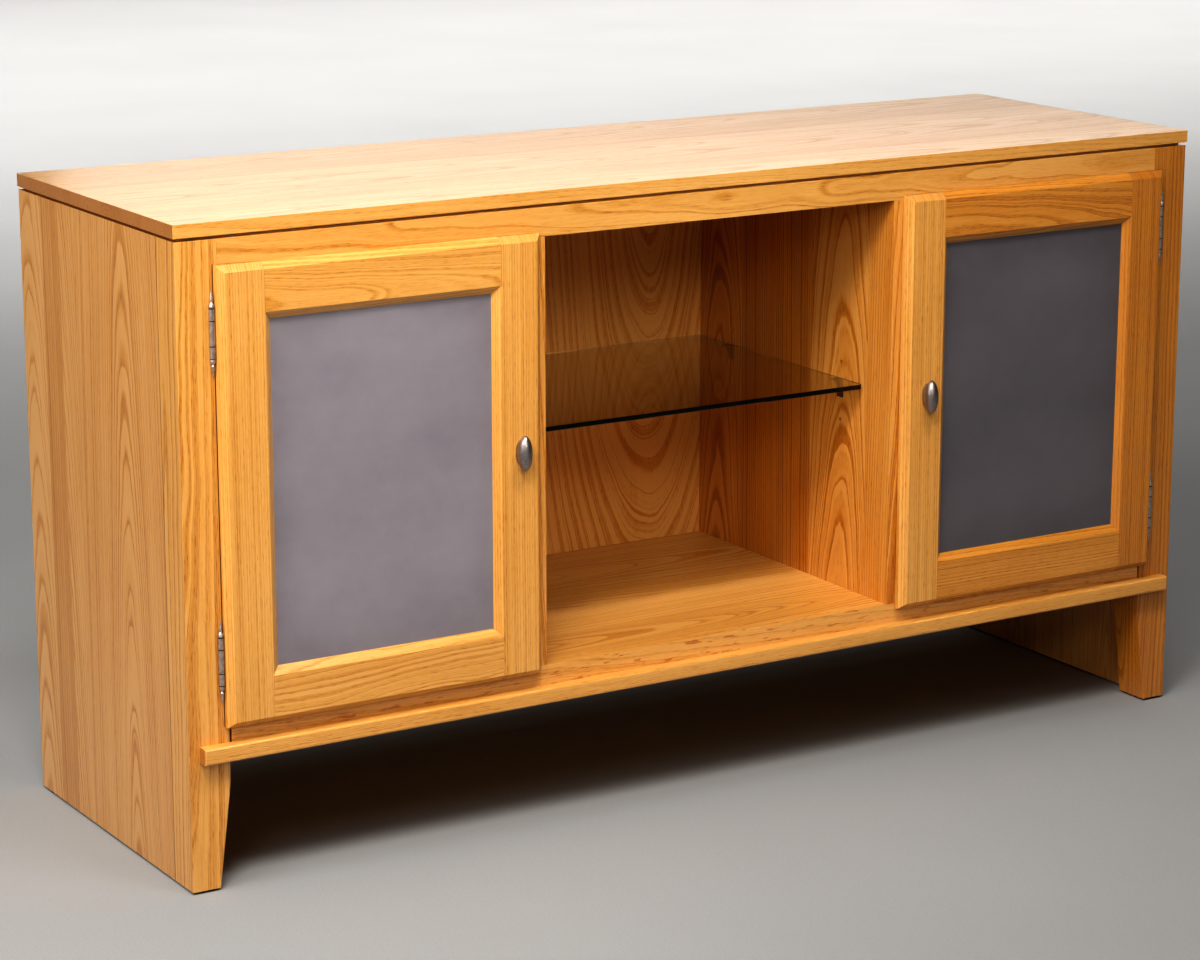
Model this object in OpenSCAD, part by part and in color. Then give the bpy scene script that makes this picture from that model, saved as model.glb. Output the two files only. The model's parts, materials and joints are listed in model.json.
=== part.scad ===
// Low wooden media console: two glazed cupboards either side of an open bay with a glass shelf.
// Origin on the floor under the middle of the whole piece, +Z up, the doors face -Y.

/* [Cabinet] */
// Width over the two side panels
body_w = 1524; // [1420:1:1640]
// Depth from the front of the posts to the back edge of the side panels
body_d = 470; // [440:1:520]
// Height of the top surface above the floor
body_h = 818; // [790:1:880]
// Thickness of the solid boards
board_t = 19; // [18:0.5:20]
// Thickness of the glides nailed under the feet
glide_t = 3; // [2:0.5:5]
// Thickness of the veneered back panel
back_t = 6; // [4:0.5:8]

/* [Top] */
// Thickness of the top's visible edge
top_t = 16.5; // [14:0.5:22]
// Overhang of the top at the front and both ends
top_over = 1.5; // [0.5:0.5:6]
// Height of the shadow groove under the top's edge
groove_h = 4; // [3:0.5:6]
// Depth of the shadow groove
groove_in = 7; // [4:0.5:10]

/* [Posts] */
// Width of a front post
post_w = 54; // [48:1:60]
// Depth of a front post
post_d = 51; // [45:1:60]
// Width left at the bottom of the tapered foot
foot_w = 37; // [30:1:44]
// Height at which the foot's inner face turns inwards
taper_h = 137; // [110:1:150]
// Radius that eases the turn of the foot's inner face
taper_r = 260; // [150:10:300]

/* [Deck and rails] */
// Height of the upper face of the deck
deck_z = 212; // [205:1:225]
// Height of the front rail under the top
rail_h = 36.5; // [30:0.5:44]
// Height of the rail along the front edge of the deck
deck_rail_h = 46.5; // [42:0.5:50]
// Gap between each end of the deck rail and its post
deck_rail_gap = 2.5; // [1:0.5:4]
// Height of the applied ledge moulding
mould_h = 20.5; // [18:0.5:24]
// How far the moulding stands out from the posts
mould_proud = 16; // [12:0.5:18]
// Inset of the moulding's ends from the cabinet's ends
mould_in = 14; // [8:1:20]
// Radius on the moulding's front arrises and corners
mould_r = 3; // [1:0.5:5]

/* [Centre bay] */
// Clear width between the two partitions
bay_w = 531; // [480:1:560]
// Thickness of the glass shelf
shelf_glass_t = 6.5; // [5:0.5:8]
// Setback of the glass shelf's front edge
shelf_back = 58; // [40:1:90]
// Height of the middle row of shelf holes
peg_z = 486; // [470:1:510]
// Spacing of the rows of shelf holes
peg_pitch = 40; // [32:1:50]
// Diameter of the shelf holes
peg_d = 5; // [5:0.1:6.4]
// Distance of the front column of shelf holes behind the post fronts
peg_front = 113; // [90:1:140]
// Distance of the rear column of shelf holes behind the post fronts
peg_rear = 379; // [340:1:400]

/* [Doors] */
// How far a closed door covers the frame round its opening
overlay = 6; // [4:0.5:6]
// Gap between the frame and the back of a closed door
door_gap = 2; // [1.5:0.1:2.5]
// Thickness of the door frame
door_t = 15; // [14:0.5:18]
// Width of the stiles and rails, bevels included
frame_w = 69; // [60:1:80]
// Width of the outer bevel on the door's front
bevel_w = 8; // [4:0.5:9]
// Depth of the bevels on the door's front
bevel_d = 9; // [8:0.5:9]
// Width of the bevel round the glass
inner_bevel_w = 10; // [6:0.5:12]
// Thickness of the frosted glass
pane_t = 4; // [3:0.5:4]
// Width of the rebate that holds the glass
rebate_w = 8; // [6:0.5:10]

/* [Hinges] */
// Height of the upper hinges' middle
hinge_upper_z = 687; // [660:1:700]
// Height of the lower hinges' middle
hinge_lower_z = 289; // [270:1:320]
// Length of the hinge barrel without its finials
hinge_h = 60; // [56:1:64]
// Diameter of the hinge barrel
barrel_d = 6.8; // [6.4:0.1:7]
// Diameter of the hinge pin
pin_d = 3; // [2.6:0.1:3.4]
// Length of each finial
finial_h = 20; // [14:1:24]

/* [Knobs] */
// Height of the oval knob
knob_h = 45.5; // [38:0.5:50]
// Width of the oval knob
knob_w = 19; // [16:0.5:22]
// How far the knob stands out from the door
knob_proud = 21; // [18:0.5:26]
// Height of the knob's middle above the floor
knob_z = 498; // [470:1:520]

/* [Hidden] */
$fn = 48;
half_w = body_w / 2;
top_z = body_h - top_t - groove_h;       // upper end of the posts, panels and partitions
open_top = top_z - rail_h;               // underside of the front rail
door_proud = door_gap + door_t;
front_y = (door_proud + knob_proud - body_d) / 2;
back_y = front_y + body_d;
post_x = half_w - post_w;                // inner face of the right post
side_x = half_w - board_t;               // inner face of the right side panel
part_x = bay_w / 2;                      // right partition's face in the open bay
cup_x = part_x + board_t;                // right partition's face in the cupboard
back_rim = 3;                            // side panels stand this far behind the back panel
panel_y = back_y - back_rim - back_t;    // front face of the back panel
rebate_x = side_x + board_t / 2;         // side of the back panel's rebate
deck_under = deck_z - board_t;
rail_low = deck_z - deck_rail_h;
foot_z = glide_t;
front_glide_d = 26;
rear_glide_d = 16;
rear_glide_in = 26;
tight = 0.1;                             // clearance round tenons, screws and pegs
hair = 0.02;                             // overrun that keeps cuts clean

tenon_l = 20;
tenon_h = 24;
tenon_t = 8;
cleat = 19;                              // side of the square cleats
cleat_y0 = front_y + post_d + 5;
cleat_y1 = panel_y - board_t - 5;
cleat_screw_in = 70;                     // side screws from the cleats' ends
cleat_screw_shift = 30;                  // screws into the board above, behind the side screws

peg_l = 8;
hole_l = 8.5;                            // depth of a blind shelf hole
support_w = 12;
support_drop = 8;                        // support plate below its peg
support_rise = 12.5;                     // seat above the peg
support_reach = 13;
support_t = 2;
gusset_t = 2;
seat_z = peg_z + support_rise;
pegs_y = [front_y + peg_front, front_y + peg_rear];
wood_shelf_t = 16;

door_x0 = cup_x - overlay;               // edges of the right door
door_x1 = post_x + overlay + 0.5;
door_z0 = deck_z - overlay - 0.5;
door_z1 = open_top + overlay + 0.5;
door_w = door_x1 - door_x0;
door_h = door_z1 - door_z0;
door_back = front_y - door_gap;
door_front = door_back - door_t;
pane_front = door_front + bevel_d;       // outer face of the glass
face_w = frame_w - inner_bevel_w;        // stile width up to the inner bevel
knob_x = door_x0 + (bevel_w + face_w) / 2;

leaf_t = 1.1;
door_leaf_t = 1.25;
leaf_clear = 0.7;                        // door edge to barrel
hinge_x = door_x1 + leaf_clear + barrel_d / 2;
hinge_y = front_y - 1.3 - barrel_d / 2;
knuckle_gap = 0.5;
mid_knuckle = hinge_h / 2 - knuckle_gap / 2;
bore_d = pin_d + 0.1;
leaf_reach = 25;
hinge_zs = [hinge_upper_z, hinge_lower_z];
leaf_screw_zs = [-18, 18];
leaf_screw_in = 15;                      // screws' distance along each leaf

screw_d = 3;
screw_head_d = 6;
screw_head_h = 1.6;
pilot_d = screw_d + 2 * tight;

catch_l = 46;
catch_w = 14;
catch_d = 15;
catch_z = open_top - 6 - catch_l / 2;
catch_screw_in = 3.2;                    // catch screws' distance from the housing's ends
catch_screw_x = 6;                       // their heads' distance from the partition
catch_screw_y = 10;
magnet_l = 34;
magnet_w = 5;
magnet_in = 8;
magnet_rim = 2;                          // housing left beside the magnet
magnet_proud = door_gap - 0.5;           // pole plates stand out towards the strike
strike_t = 1.2;
strike_l = 38;
strike_w = 14;
strike_in = 1;                           // depth of the strike's seat in the door
strike_x = cup_x + 2;
strike_lo = [strike_x, door_back - strike_in, catch_z - strike_l / 2];
strike_hi = [strike_x + strike_w, door_back - strike_in + strike_t, catch_z + strike_l / 2];

back_low = rail_low + 5;                 // lower edge of the back panel
post_rel = [post_x - hinge_x, front_y - hinge_y];      // post's inner front corner from the hinge axis
cleat_screw_ys = [cleat_y0 + cleat_screw_in, cleat_y1 - cleat_screw_in];
cleat_tops = [top_z, deck_under];

cleat_screw_l = 32;
cleat_up_l = 28;
back_screw_l = 20;
catch_screw_l = 18;
frame_screw_l = 16;
door_screw_l = 11;
knob_screw_l = 24;
// Places of the back panel's screws as [x, z], on the right-hand half
rail_screw_xs = side_x * [0.15, 0.53, 0.91];
rail_screw_zs = [open_top + 12, deck_under - 11];
partition_screw_zs = [320, 560];
back_screw_places = concat([for (x = rail_screw_xs, z = rail_screw_zs) [x, z]],
                           [for (z = partition_screw_zs) [part_x + board_t / 2, z]]);

// Solid block between two opposite corners
module block(lo, hi) {
    translate(lo) cube(hi - lo);
}

// Draws its children on the given side: -1 left, 1 right
module side(s) {
    if (s < 0) mirror([1, 0, 0]) children();
    else children();
}

// Countersunk screw, head face at z = 0, shank down -Z
module screw(len) {
    translate([0, 0, -screw_head_h]) cylinder(d1 = screw_d, d2 = screw_head_d, h = screw_head_h, $fn = 24);
    translate([0, 0, -len]) cylinder(d = screw_d, h = len - screw_head_h + hair, $fn = 24);
}

// Space that a screw of the same length needs
module screw_hole(len) {
    translate([0, 0, -screw_head_h - tight])
        cylinder(d1 = pilot_d, d2 = screw_head_d + 2 * tight, h = screw_head_h + tight + hair, $fn = 24);
    translate([0, 0, -len - tight]) cylinder(d = pilot_d, h = len, $fn = 24);
}

// Rectangle with two rounded corners on its low-Y side
module soft_front(w, d, r) {
    translate([0, r]) square([w, d - r]);
    translate([r, 0]) square([w - 2 * r, r]);
    translate([r, r]) circle(r = r);
    translate([w - r, r]) circle(r = r);
}

// ---- carcass ----

module top_panel() {
    color("#d9a04a") difference() {
        top_board();
        cleat_up_cuts(top_z);
    }
}

// Board with a rebate round three sides of its underside
module top_board() {
    block([-half_w - top_over, front_y - top_over, top_z + groove_h], [half_w + top_over, back_y, body_h]);
    block([-half_w + groove_in, front_y + groove_in, top_z],
          [half_w - groove_in, back_y, top_z + groove_h + hair]);
}

// Four blind holes for shelf pegs, opening towards -X at x = 0
module peg_holes(depth) {
    for (y = pegs_y, row = [-1 : 1])
        translate([-hair, y, peg_z + row * peg_pitch]) rotate([0, 90, 0])
            cylinder(d = peg_d, h = depth, $fn = 24);
}

module side_panel(s) {
    color("#b98747") side(s) difference() {
        block([side_x, front_y + post_d, foot_z], [half_w, back_y, top_z]);
        block([side_x - hair, panel_y, back_low], [rebate_x, back_y + hair, top_z + hair]);
        translate([side_x, 0, 0]) peg_holes(hole_l);
        cleat_side_screws(true);
    }
}

// Front post with its tapered foot
module front_post(s) {
    turn = atan((post_w - foot_w) / (taper_h - foot_z));
    start_z = taper_h + taper_r * tan(turn / 2);
    steps = 6;
    ease = [for (a = [0 : turn / steps : turn + hair])
            [post_x + taper_r * (1 - cos(a)), start_z - taper_r * sin(a)]];
    outline = concat([[half_w, foot_z], [half_w, top_z], [post_x, top_z]], ease,
                     [[half_w - foot_w, foot_z]]);
    color("#e0a94f") side(s) difference() {
        translate([0, front_y + post_d, 0]) rotate([90, 0, 0]) linear_extrude(post_d) polygon(outline);
        tenon(tight);
        frame_leaf_screws_at(true);
    }
}

// Tenon of the front rail in the right-hand post, grown by a clearance
module tenon(grow) {
    mid_y = front_y + board_t / 2;
    mid_z = top_z - rail_h / 2;
    block([post_x - hair, mid_y - tenon_t / 2 - grow, mid_z - tenon_h / 2 - grow],
          [post_x + tenon_l + grow, mid_y + tenon_t / 2 + grow, mid_z + tenon_h / 2 + grow]);
}

module top_rail() {
    color("#d9a04a") {
        block([-post_x, front_y, open_top], [post_x, front_y + board_t, top_z]);
        for (s = [-1, 1]) side(s) tenon(0);
    }
}

module back_top_rail() {
    color("#c98f3c") difference() {
        block([-side_x, panel_y - board_t, open_top], [side_x, panel_y, top_z]);
        back_screw_cuts();
    }
}

module deck_panel() {
    color("#c98f3c") difference() {
        block([-side_x, front_y + board_t, deck_under], [side_x, panel_y, deck_z]);
        for (s = [-1, 1]) side(s)
            block([post_x, front_y, deck_under - hair], [side_x + hair, front_y + post_d, deck_z + hair]);
        cleat_up_cuts(deck_under);
    }
}

module deck_rail() {
    end_x = post_x - deck_rail_gap;
    color("#d9a04a") block([-end_x, front_y, rail_low], [end_x, front_y + board_t, deck_z]);
}

module back_deck_rail() {
    color("#c98f3c") difference() {
        block([-side_x, panel_y - board_t, rail_low], [side_x, panel_y, deck_under]);
        back_screw_cuts();
    }
}

module ledge_moulding() {
    length = body_w - 2 * mould_in;
    color("#e0ac58") translate([-length / 2, front_y - mould_proud, rail_low]) intersection() {
        linear_extrude(mould_h) soft_front(length, mould_proud, mould_r);
        translate([0, 0, mould_h]) rotate([0, 90, 0])
            linear_extrude(length) soft_front(mould_h, mould_proud, mould_r);
    }
}

// Partition, notched round the front and back rails
module partition(s) {
    color("#c98f3c") side(s) difference() {
        block([part_x, front_y, deck_z], [cup_x, panel_y, top_z]);
        block([part_x - hair, front_y - hair, open_top], [cup_x + hair, front_y + board_t, top_z + hair]);
        block([part_x - hair, panel_y - board_t, open_top], [cup_x + hair, panel_y + hair, top_z + hair]);
        translate([part_x, 0, 0]) peg_holes(hole_l);
        translate([cup_x, 0, 0]) mirror([1, 0, 0]) peg_holes(hole_l);
        back_screw_cuts();
        catch_screws_at(true);
    }
}

module back_panel() {
    color("#8a4f1c") difference() {
        block([-rebate_x, panel_y, back_low], [rebate_x, panel_y + back_t, top_z]);
        back_screw_cuts();
    }
}

// Cleat with its upper face at z1
module cleat_at(s, z1) {
    color("#c0a070") side(s) difference() {
        block([side_x - cleat, cleat_y0, z1 - cleat], [side_x, cleat_y1, z1]);
        cleat_side_screws(true);
        cleat_up_screws(z1, true);
    }
}

// ---- fasteners in the carcass ----

// Screws through the cleats into the side panels
module cleat_side_screws(cut) {
    for (z = cleat_tops, y = cleat_screw_ys)
        translate([side_x - cleat, y, z - cleat / 2]) rotate([0, -90, 0])
            if (cut) screw_hole(cleat_screw_l);
            else screw(cleat_screw_l);
}

// Screws up through one pair of cleats into the board above
module cleat_up_screws(z, cut) {
    for (y = cleat_screw_ys)
        translate([side_x - cleat / 2, y + cleat_screw_shift, z - cleat]) rotate([180, 0, 0])
            if (cut) screw_hole(cleat_up_l);
            else screw(cleat_up_l);
}

module cleat_up_cuts(z) {
    for (s = [-1, 1]) side(s) cleat_up_screws(z, true);
}

module cleat_screws() {
    color("silver") for (s = [-1, 1]) side(s) {
        cleat_side_screws(false);
        for (z = cleat_tops) cleat_up_screws(z, false);
    }
}

module back_screw_set(cut) {
    for (p = back_screw_places)
        translate([p[0], panel_y + back_t, p[1]]) rotate([-90, 0, 0])
            if (cut) screw_hole(back_screw_l);
            else screw(back_screw_l);
}

module back_screw_cuts() {
    for (s = [-1, 1]) side(s) back_screw_set(true);
}

module back_panel_screws() {
    color("silver") for (s = [-1, 1]) side(s) back_screw_set(false);
}

module floor_glides() {
    color("#3a3a3a") for (s = [-1, 1]) side(s) {
        translate([half_w - foot_w / 2, front_y + post_d / 2, 0]) cylinder(d = front_glide_d, h = glide_t);
        translate([half_w - board_t / 2, back_y - rear_glide_in, 0])
            cylinder(d = rear_glide_d, h = glide_t);
    }
}

// ---- shelves ----

module glass_shelf() {
    end_x = part_x - 2.5;
    color("#3f5f52", 0.6)
        block([-end_x, front_y + shelf_back, seat_z], [end_x, panel_y - 2, seat_z + shelf_glass_t]);
}

// Shelf support whose peg enters a hole at x = 0 that opens towards -X
module support() {
    plate_x = -support_t - tight;
    translate([plate_x, -support_w / 2, -support_drop])
        cube([support_t, support_w, support_drop + support_rise]);
    translate([plate_x - support_reach + support_t, -support_w / 2, support_rise - support_t])
        cube([support_reach - support_t + hair, support_w, support_t]);
    translate([plate_x + hair, gusset_t / 2, 0]) rotate([90, 0, 0]) linear_extrude(gusset_t)
        polygon([[0, -support_drop + 2], [0, support_rise - support_t + hair],
                 [-support_reach + support_t + 2, support_rise - support_t + hair]]);
    translate([-tight - hair, 0, 0]) rotate([0, 90, 0])
        cylinder(d = peg_d - 2 * tight, h = peg_l, $fn = 24);
}

module shelf_supports() {
    color("#5a4a38") for (s = [-1, 1], y = pegs_y) side(s) {
        translate([part_x, y, peg_z]) support();
        translate([cup_x, y, peg_z]) mirror([1, 0, 0]) support();
        translate([side_x, y, peg_z]) support();
    }
}

module cupboard_shelf(s) {
    color("#c98f3c") side(s)
        block([cup_x + 2, front_y + shelf_back, seat_z], [side_x - 2, panel_y - 2, seat_z + wood_shelf_t]);
}

// ---- door catches ----

// Catch housing on the partition, its mouth facing the door
module catch_housing(s) {
    x0 = cup_x;
    color("#6b5a45") side(s) difference() {
        block([x0, front_y, catch_z - catch_l / 2],
              [x0 + catch_w, front_y + catch_d, catch_z + catch_l / 2]);
        catch_magnet_space(tight);
        catch_screws_at(true);
    }
}

module catch_magnet_space(grow) {
    x0 = cup_x + catch_w - magnet_w - magnet_rim;
    block([x0 - grow, front_y - magnet_proud - grow, catch_z - magnet_l / 2 - grow],
          [x0 + magnet_w + grow, front_y + magnet_in + grow, catch_z + magnet_l / 2 + grow]);
}

module catch_screws_at(cut) {
    for (z = [catch_z - catch_l / 2 + catch_screw_in, catch_z + catch_l / 2 - catch_screw_in])
        translate([cup_x + catch_screw_x, front_y + catch_screw_y, z]) rotate([0, 90, 0])
            if (cut) {
                screw_hole(catch_screw_l);
                cylinder(d = screw_head_d + 2 * tight, h = catch_w, $fn = 24);
            }
            else screw(catch_screw_l);
}

module catch_magnets() {
    color("#55585c") for (s = [-1, 1]) side(s) catch_magnet_space(0);
}

// ---- hinges: right-hand door, drawn about the hinge's middle ----

// Moves children to each of the given hinge heights
module at_hinge(z) {
    translate([hinge_x, hinge_y, z]) children();
}

// Leaf on the post: two rolled knuckles, a strip across the post's face and a flange inside the cupboard
module frame_leaf(s, z) {
    color("#a39a8c") side(s) at_hinge(z) frame_leaf_shape();
}

module frame_leaf_shape() {
    half = hinge_h / 2;
    low = mid_knuckle / 2 + knuckle_gap;
    r = barrel_d / 2;
    inner_x = post_rel[0] - leaf_t;
    face_y = post_rel[1] - leaf_t;
    difference() {
        union() {
            for (k = [0, 1]) mirror([0, 0, k]) translate([0, 0, low]) {
                cylinder(d = barrel_d, h = half - low);
                translate([-r, 0, 0]) cube([r, post_rel[1], half - low]);
                translate([-r - leaf_clear - hair, face_y, 0]) cube([leaf_clear + r, leaf_t, half - low]);
            }
            translate([inner_x, face_y, -half]) cube([-inner_x - r - leaf_clear, leaf_t, hinge_h]);
            translate([inner_x, face_y, -half]) cube([leaf_t, leaf_reach, hinge_h]);
        }
        translate([0, 0, -half - 1]) cylinder(d = bore_d, h = hinge_h + 2);
        for (z = leaf_screw_zs) translate([0, 0, z]) frame_leaf_screw(true);
    }
}

module frame_leaf_screw(cut) {
    translate([post_rel[0] - leaf_t, post_rel[1] + leaf_screw_in, 0]) rotate([0, -90, 0])
        if (cut) screw_hole(frame_screw_l);
        else screw(frame_screw_l);
}

module frame_leaf_screws_at(cut) {
    for (z = hinge_zs, dz = leaf_screw_zs) at_hinge(z + dz) frame_leaf_screw(cut);
}

module carcass_hardware_screws() {
    color("silver") for (s = [-1, 1]) side(s) {
        frame_leaf_screws_at(false);
        catch_screws_at(false);
    }
}

// Leaf let into the back of the door, rolled round the middle of the pin
module door_leaf(s, z) {
    color("#a39a8c") side(s) at_hinge(z) door_leaf_shape();
}

module door_leaf_shape() {
    leaf_y = door_back - hinge_y - door_leaf_t;
    edge_x = door_x1 - hinge_x;
    difference() {
        union() {
            translate([0, 0, -mid_knuckle / 2]) cylinder(d = barrel_d, h = mid_knuckle);
            translate([edge_x - hair, leaf_y, -mid_knuckle / 2]) cube([-edge_x, door_leaf_t, mid_knuckle]);
            translate([edge_x - leaf_reach, leaf_y, -hinge_h / 2]) cube([leaf_reach, door_leaf_t, hinge_h]);
        }
        translate([0, 0, -hinge_h]) cylinder(d = bore_d, h = 2 * hinge_h);
        for (z = leaf_screw_zs) translate([0, 0, z]) door_leaf_screw(true);
    }
}

module door_leaf_screw(cut) {
    translate([door_x1 - hinge_x - leaf_screw_in, door_back - hinge_y, 0]) rotate([-90, 0, 0])
        if (cut) screw_hole(door_screw_l);
        else screw(door_screw_l);
}

// Pin with a steeple finial at each end
module hinge_pin() {
    r = pin_d / 2;
    b = barrel_d / 2;
    e = hinge_h / 2 + knuckle_gap / 2;
    f = finial_h / 20;
    steeple = [[r, e], [b - 0.3, e], [b, e + 2 * f], [b - 0.5, e + 4 * f], [b - 1.5, e + 6 * f],
               [b - 2, e + 7 * f], [b - 1.3, e + 8.5 * f], [b - 1.4, e + 11 * f],
               [b - 2.2, e + 16 * f], [b - 2.9, e + 20 * f], [0, e + 20 * f]];
    cylinder(d = pin_d, h = 2 * e + 2 * hair, center = true);
    for (k = [0, 1]) mirror([0, 0, k]) rotate_extrude() polygon(concat([[0, e]], steeple));
}

module hinge_pins() {
    color("#a39a8c") for (s = [-1, 1], z = hinge_zs) side(s) at_hinge(z) hinge_pin();
}

// ---- doors: right-hand door ----

// Door blank with its four front edges bevelled
module bevelled_blank() {
    intersection() {
        translate([0, 0, door_z0]) linear_extrude(door_h)
            polygon([[door_x0, door_back], [door_x0, pane_front], [door_x0 + bevel_w, door_front],
                     [door_x1 - bevel_w, door_front], [door_x1, pane_front], [door_x1, door_back]]);
        translate([door_x0, 0, 0]) rotate([90, 0, 90]) linear_extrude(door_w)
            polygon([[door_back, door_z0], [pane_front, door_z0], [door_front, door_z0 + bevel_w],
                     [door_front, door_z1 - bevel_w], [pane_front, door_z1], [door_back, door_z1]]);
    }
}

// Space cut by the bevel round the glass
module bevelled_window() {
    g = frame_w;
    over = 1;
    f = face_w - over * inner_bevel_w / bevel_d;
    y = [door_front - over, pane_front, door_back];
    intersection() {
        translate([0, 0, door_z0]) linear_extrude(door_h)
            polygon([[door_x0 + f, y[0]], [door_x0 + g, y[1]], [door_x0 + g, y[2]],
                     [door_x1 - g, y[2]], [door_x1 - g, y[1]], [door_x1 - f, y[0]]]);
        translate([door_x0, 0, 0]) rotate([90, 0, 90]) linear_extrude(door_w)
            polygon([[y[0], door_z0 + f], [y[1], door_z0 + g], [y[2], door_z0 + g],
                     [y[2], door_z1 - g], [y[1], door_z1 - g], [y[0], door_z1 - f]]);
    }
}

module rebate_space() {
    m = frame_w - rebate_w;
    block([door_x0 + m, pane_front, door_z0 + m], [door_x1 - m, door_back + 1, door_z1 - m]);
}

// The whole door frame, before it is divided into stiles and rails
module door_frame() {
    difference() {
        bevelled_blank();
        bevelled_window();
        rebate_space();
        for (z = hinge_zs) {
            block([door_x1 - leaf_reach - tight, door_back - door_leaf_t, z - hinge_h / 2 - tight],
                  [door_x1 + 1, door_back + 1, z + hinge_h / 2 + tight]);
            for (dz = leaf_screw_zs) at_hinge(z + dz) door_leaf_screw(true);
        }
        knob_screw_at(true);
        block(strike_lo - [tight, 0, tight], strike_hi + [tight, 1, tight]);
        strike_screw_at(true);
    }
}

// Prism through the door with the given outline in X and Z
module door_region(points) {
    translate([0, door_back + 1, 0]) rotate([90, 0, 0]) linear_extrude(door_t + 2) polygon(points);
}

// Full-height stile, mitred only across the inner bevel; dir is 1 on the knob side and -1 at the hinges
module door_stile(s, dir) {
    f = face_w;
    g = frame_w;
    edge = dir > 0 ? door_x0 : door_x1;
    color("#e0a94f") side(s) intersection() {
        door_frame();
        door_region([[edge - dir, door_z0 - 1], [edge + dir * f, door_z0 - 1],
                     [edge + dir * f, door_z0 + f], [edge + dir * g, door_z0 + g],
                     [edge + dir * g, door_z1 - g], [edge + dir * f, door_z1 - f],
                     [edge + dir * f, door_z1 + 1], [edge - dir, door_z1 + 1]]);
    }
}

// Rail between the stiles; dir is 1 for the bottom rail and -1 for the top rail
module door_rail(s, dir) {
    f = face_w;
    g = frame_w;
    edge = dir > 0 ? door_z0 : door_z1;
    color("#d9a04a") side(s) intersection() {
        door_frame();
        door_region([[door_x0 + f, edge - dir], [door_x0 + f, edge + dir * f],
                     [door_x0 + g, edge + dir * g], [door_x1 - g, edge + dir * g],
                     [door_x1 - f, edge + dir * f], [door_x1 - f, edge - dir]]);
    }
}

module door_glass(s) {
    m = frame_w - rebate_w + 0.5;
    color("#b0a6a4", 0.8) side(s)
        block([door_x0 + m, pane_front, door_z0 + m], [door_x1 - m, pane_front + pane_t, door_z1 - m]);
}

// Four strips that hold the glass in its rebate
module glass_beads(s) {
    m = frame_w - rebate_w + tight;
    w = rebate_w - 1;
    y0 = pane_front + pane_t;
    color("#9a7440") side(s) {
        for (x = [door_x0 + m, door_x1 - m - w])
            block([x, y0, door_z0 + m], [x + w, door_back, door_z1 - m]);
        for (z = [door_z0 + m, door_z1 - m - w])
            block([door_x0 + m + w + tight, y0, z], [door_x1 - m - w - tight, door_back, z + w]);
    }
}

// Flat oval disc, standing out from y = 0 towards -Y
module oval(w, h, y, t) {
    translate([0, -y, 0]) rotate([90, 0, 0]) scale([w / 2, h / 2, 1]) cylinder(r = 1, h = t, $fn = 40);
}

// Cast knob: oval foot, slightly waisted neck and a domed oval head
module knob(s) {
    neck_y = knob_proud * 0.16;
    flare_y = knob_proud * 0.36;
    rim_y = knob_proud * 0.5;
    dome = knob_proud - rim_y;
    foot = [15.5, 33];
    neck = [14.5, 32];
    flare = [17, 40];
    color("#8d8379") side(s) difference() {
        translate([knob_x, door_front, knob_z]) {
            hull() {
                oval(foot[0], foot[1], 0, 1.2);
                oval(foot[0] - 0.6, foot[1] - 0.6, 1.2, 0.8);
            }
            hull() {
                oval(foot[0] - 0.8, foot[1] - 0.8, 1.5, 0.5);
                oval(neck[0], neck[1], neck_y, 0.5);
            }
            hull() {
                oval(neck[0], neck[1], neck_y, 0.5);
                oval(flare[0], flare[1], flare_y, 0.5);
            }
            hull() {
                oval(flare[0], flare[1], flare_y, 0.5);
                oval(knob_w, knob_h, rim_y - 0.8, 1);
            }
            hull() {
                oval(knob_w, knob_h, rim_y, 0.2);
                oval(knob_w * 0.87, knob_h * 0.88, rim_y + dome * 0.5, 0.2);
                oval(knob_w * 0.62, knob_h * 0.64, rim_y + dome * 0.78, 0.2);
                oval(knob_w * 0.3, knob_h * 0.32, knob_proud - 0.2, 0.2);
            }
        }
        knob_screw_at(true);
    }
}

module knob_screw_at(cut) {
    recess = 3;
    shank_d = 4;
    head_d = 8;
    head_h = 2.2;
    translate([knob_x, door_back - recess, knob_z]) rotate([90, 0, 0])
        if (cut) {
            translate([0, 0, -recess - 1]) cylinder(d = head_d + 1, h = recess + 1, $fn = 24);
            cylinder(d = shank_d + 2 * tight, h = knob_screw_l + tight, $fn = 24);
        }
        else {
            translate([0, 0, -head_h]) cylinder(d = head_d, h = head_h, $fn = 24);
            cylinder(d = shank_d, h = knob_screw_l - head_h, $fn = 24);
        }
}

module strike_plate(s) {
    color("silver") side(s) difference() {
        block(strike_lo, strike_hi);
        strike_screw_at(true);
    }
}

module strike_screw_at(cut) {
    translate([(strike_lo[0] + strike_hi[0]) / 2 - 3, strike_hi[1], catch_z]) rotate([-90, 0, 0])
        if (cut) screw_hole(door_screw_l);
        else screw(door_screw_l);
}

module door_screws(s) {
    color("silver") side(s) {
        for (z = hinge_zs, dz = leaf_screw_zs) at_hinge(z + dz) door_leaf_screw(false);
        strike_screw_at(false);
    }
}

module knob_screw(s) {
    color("silver") side(s) knob_screw_at(false);
}

// Two soft dots that face the partition's edge
module bumpers(s) {
    thick = door_gap - 0.5;
    color("#dddddd") side(s) for (z = [door_z0 + 30, door_z1 - 90])
        translate([door_x0 + overlay / 2, door_back + thick, z]) rotate([90, 0, 0])
            cylinder(d = 4, h = thick);
}

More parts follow.
